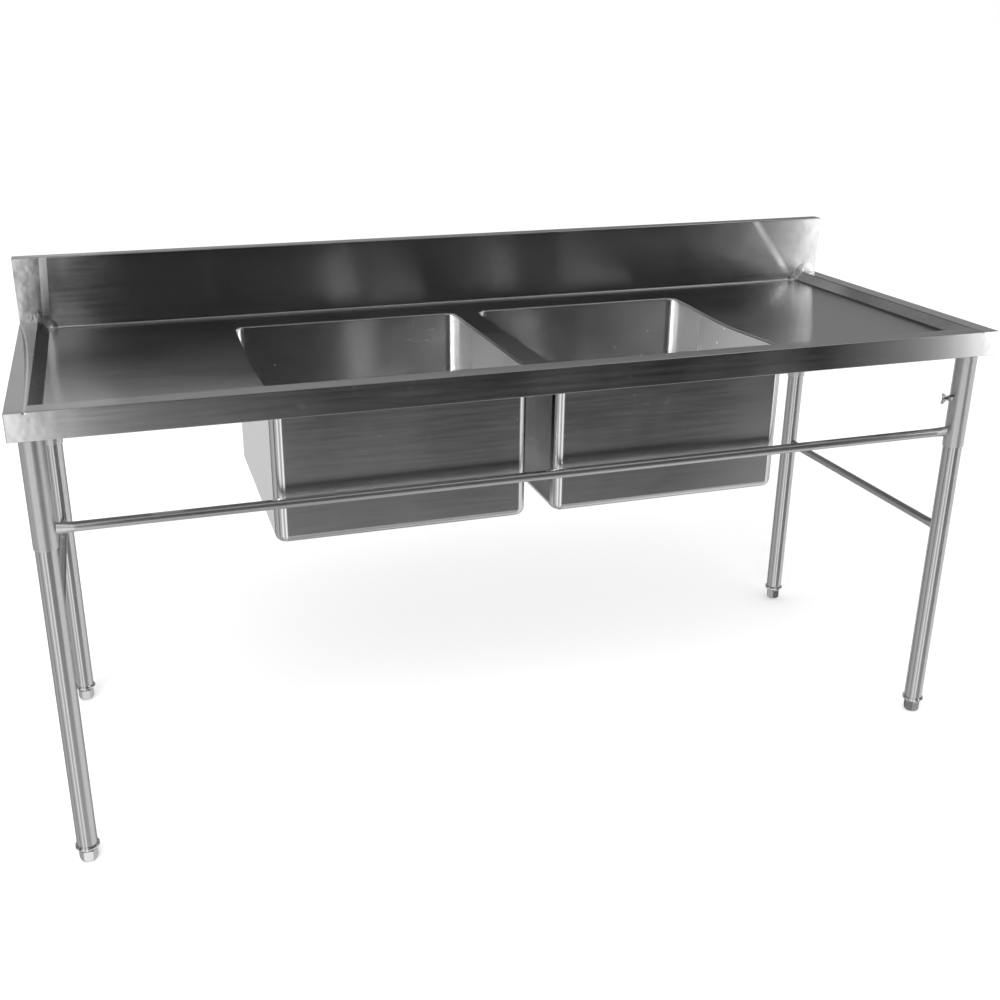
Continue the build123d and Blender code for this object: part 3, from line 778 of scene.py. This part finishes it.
def slot_of(node):
    """The material slot that the record gives a CAD node."""
    prefixes = (
        ("worktop", "deck_sheet"), ("splash", "deck_sheet"), ("bowl", "bowl_sheet"),
        ("bearer", "bearer_steel"), ("rear_bearer", "bearer_steel"), ("drainer_channel", "bearer_steel"),
        ("sleeve_nuts", "fastener_steel"), ("sleeve", "satin_tube"), ("socket_plate", "plate_steel"),
        ("socket_screws", "fastener_steel"), ("wing", "wing_metal"), ("front_rail", "polished_tube"),
        ("side_rail", "polished_tube"), ("leg", "polished_tube"), ("foot_stud", "thread_steel"),
        ("foot", "foot_metal"), ("waste_gasket", "gasket_rubber"), ("waste_nut", "nut_plastic"),
        ("waste", "waste_metal"),
    )
    return next(slot for prefix, slot in prefixes if node.startswith(prefix))


def finish_piece(obj, slot):
    """Gives a piece the material named after its slot."""
    obj.data.materials.clear()
    obj.data.materials.append(MATERIALS[slot])


for name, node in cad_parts.items():
    finish_piece(node, slot_of(name))

worktop = make_worktop()
finish_piece(worktop, "deck_sheet")
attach(worktop, "bench")
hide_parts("worktop")
bowls = []
for side in BOWLS:
    bowl = make_bowl(side)
    bowls.append(bowl)
    finish_piece(bowl, "bowl_sheet")
    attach(bowl, "bench")
    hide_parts(f"bowl_{side}")


# ---- studio ------------------------------------------------------------------------
CARD_Y = -2.6
CAMERA_PLACE = (-0.77255, -2.27367, 1.46494)
CAMERA_TURN = (0.2916, 0.3722, 0.0019)  # radians to the right, down and clockwise
CAMERA_SENSOR = 36  # millimetres, as is the lens
CAMERA_LENS = 42.47
CAMERA_SHIFT = (0.043, -0.0079)


def make_floor():
    """A plain pale floor, left out of mirror reflections."""
    bpy.ops.mesh.primitive_plane_add(size=60)
    floor = bpy.context.object
    floor.name = "floor"
    material = bpy.data.materials.new("floor")
    material.use_nodes = True
    n = Nodes(material.node_tree)
    diffuse = n.add("ShaderNodeBsdfDiffuse")
    diffuse.inputs["Color"].default_value = (0.92, 0.92, 0.9246, 1)
    lift = n.add("ShaderNodeEmission")
    lift.inputs["Strength"].default_value = 0.07
    both = n.add("ShaderNodeAddShader")
    n.join(diffuse.outputs[0], both.inputs[0])
    n.join(lift.outputs[0], both.inputs[1])
    n.join(both.outputs[0], n.add("ShaderNodeOutputMaterial").inputs[0])
    floor.data.materials.append(material)
    floor.visible_glossy = False


def make_world():
    """White to the eye; to the steel, a dark room with pale ends and a pale floor.

    Azimuths are in degrees from -Y towards +X, and heights in degrees above the horizon."""
    world = bpy.data.worlds.new("studio")
    bpy.context.scene.world = world
    world.use_nodes = True
    n = Nodes(world.node_tree)
    direction = n.add("ShaderNodeTexCoord").outputs["Generated"]
    x, y, z = n.split(direction)
    azimuth = n.product(n.math("ARCTAN2", x, n.product(y, -1.0)), 180 / math.pi)
    height = n.product(n.math("ARCSINE", z), 180 / math.pi)
    from_nadir = n.math("MULTIPLY_ADD", height, 1 / 180, 0.5)

    def by_height(*pairs):
        return n.curve(from_nadir, [((angle + 90) / 180, level) for angle, level in pairs])

    def add_bands(light, core, bands):
        """Adds upright bands, each (azimuth, half width, level), even over the core of each."""
        for middle, half, level in bands:
            band = n.ramp(n.gap(azimuth, middle), half, core * half, 0.0, level)
            light = n.math("ADD", light, band)
        return light

    # the dark part in front, with three faint upright bands
    dark = by_height((-90, 0.35), (-50, 0.42), (-38, 0.75), (-33, 0.8), (-29.5, 0.45), (-25.5, 0.11),
                     (-20, 0.035), (-13, 0.012), (90, 0.01))
    dark = add_bands(dark, 0.3, ((13.8, 2.0, 0.022), (17.5, 1.0, 0.01), (23.2, 1.6, 0.012)))
    # the pale left, which fades away from the middle
    left = by_height((-90, 0.6), (-50, 0.9), (-30, 1.3), (-17, 1.4), (-9, 1.2), (3, 0.55), (13, 0.5),
                     (25, 1.3), (90, 1.3))
    fade = n.ramp(azimuth, -12, -24, 1.0, 0.33)
    left = n.product(left, add_bands(fade, 0.2, ((-44, 12, 0.6), (-80, 10, -0.35))))
    right = by_height((-90, 0.9), (-30, 1.0), (-5, 1.0), (5, 0.2), (50, 0.15), (90, 0.12))
    # the back: brighter in its middle; low down, a dark stretch on either side of that
    away = n.math("ABSOLUTE", azimuth)
    low_back = n.mix(n.ramp(away, 167, 161), 0.95, n.ramp(away, 152, 144, 0.08, 0.5))
    side_back = n.mix(n.ramp(azimuth, 0, 1), 0.65, 0.42)
    high_back = n.mix(n.ramp(away, 176, 155), side_back, 0.28)
    back = n.mix(n.ramp(height, -4, 8), low_back, high_back)
    back = n.mix(n.ramp(height, 18, 38), back, 0.15)
    # joined side by side; the edge between left and dark steps aside low down
    edge = n.math("ADD", azimuth, n.ramp(height, -12, -17, 0.0, 1.6))
    light = n.mix(n.ramp(edge, -0.5, -4.5), dark, left)
    low_glow = n.product(n.ramp(azimuth, 12, -4, 0.0, 0.3), n.ramp(height, -11, -17))
    light = n.math("ADD", light, low_glow)
    light = n.mix(n.ramp(azimuth, 42, 55), light, right)
    light = n.mix(n.ramp(away, 100, 130), light, back)
    # a pale ring overhead round a dark middle
    light = n.mix(n.ramp(height, 44, 52), light, 0.8)
    light = n.mix(n.ramp(height, 61, 67), light, 0.05)
    path = n.add("ShaderNodeLightPath").outputs
    fill = 1.08  # what lights rough surfaces
    shown = n.mix(path["Is Camera Ray"], n.mix(path["Is Glossy Ray"], fill, light), 1.0)
    background = n.add("ShaderNodeBackground")
    n.join(shown, background.inputs["Color"])
    n.join(background.outputs[0], n.add("ShaderNodeOutputWorld").inputs[0])


def make_card(name, low, high, glow):
    """An upright softbox that only the steel sees, from corner low to corner high, each (x, z).

    glow: (x, brightness) pairs from its left edge to its right edge."""
    bpy.ops.mesh.primitive_plane_add(size=1, rotation=(math.radians(90), 0, 0))
    card = bpy.context.object
    card.name = name
    width = high[0] - low[0]
    card.location = ((low[0] + high[0]) / 2, CARD_Y, (low[1] + high[1]) / 2)
    card.scale = (width, high[1] - low[1], 1)
    material = bpy.data.materials.new(name)
    material.use_nodes = True
    n = Nodes(material.node_tree)
    across = n.split(n.add("ShaderNodeTexCoord").outputs["Generated"])[0]
    emission = n.add("ShaderNodeEmission")
    brightest = max(level for _, level in glow)
    emission.inputs["Strength"].default_value = brightest
    shares = [((x - low[0]) / width, level / brightest) for x, level in glow]
    n.join(n.curve(across, shares), emission.inputs["Color"])
    n.join(emission.outputs[0], n.add("ShaderNodeOutputMaterial").inputs[0])
    card.data.materials.append(material)
    card.visible_camera = False
    card.visible_diffuse = False
    card.visible_shadow = False


def make_light(name, place, size, power, only=()):
    """A softbox over the bench: for the floor, or for the sheen of some pieces only."""
    data = bpy.data.lights.new(name, "AREA")
    data.size = size
    data.energy = power
    light = bpy.data.objects.new(name, data)
    light.location = place
    aim = Vector((0, 0, 0.5)) - Vector(place)
    light.rotation_euler = aim.to_track_quat("-Z", "Y").to_euler()
    light.visible_glossy = bool(only)
    light.visible_camera = False
    if only:
        lit = bpy.data.collections.new(name)
        for piece in only:
            lit.objects.link(piece)
        light.light_linking.receiver_collection = lit
    bpy.context.scene.collection.objects.link(light)


def make_camera():
    """A camera at the left of the bench, above it, looking slightly to the right and down."""
    data = bpy.data.cameras.new("camera")
    camera = bpy.data.objects.new("camera", data)
    yaw, pitch, roll = CAMERA_TURN
    forward = Vector((math.sin(yaw) * math.cos(pitch),
                      math.cos(yaw) * math.cos(pitch),
                      -math.sin(pitch)))
    level = Vector((math.cos(yaw), -math.sin(yaw), 0))
    down = forward.cross(level)
    right = level * math.cos(roll) + down * math.sin(roll)
    up = right.cross(forward)
    turned = Matrix((right, up, -forward)).transposed().to_4x4()
    camera.matrix_world = Matrix.Translation(CAMERA_PLACE) @ turned
    data.sensor_width = CAMERA_SENSOR
    data.lens = CAMERA_LENS
    data.shift_x, data.shift_y = CAMERA_SHIFT
    bpy.context.scene.collection.objects.link(camera)
    bpy.context.scene.camera = camera


make_floor()
make_world()
make_card("softbox_right", (2.1, -0.25), (6.1, 1.15), (
    (2.1, 0.06), (2.36, 0.18), (2.6, 0.36), (2.74, 0.6), (2.84, 1.1), (2.9, 2.2), (3.0, 3.2),
    (3.12, 3.0), (3.4, 1.0), (6.1, 0.6)))
make_card("softbox_high", (2.7, 1.25), (5.0, 2.7), (
    (2.7, 0.0), (2.9, 1.2), (3.08, 4.5), (3.18, 3.5), (3.4, 0.6), (5.0, 0.3)))
make_card("softbox_low", (1.45, -0.65), (2.1, -0.12), (
    (1.45, 0.06), (1.6, 0.15), (1.8, 0.25), (1.96, 0.5), (2.1, 0.7)))
make_light("key", (-1.5, -2.5, 3.5), size=3.0, power=120)
make_light("sheen_left", (-3.5, -0.9, 2.4), size=1.6, power=1100, only=bowls)
make_camera()
bpy.context.scene.view_settings.view_transform = "Standard"
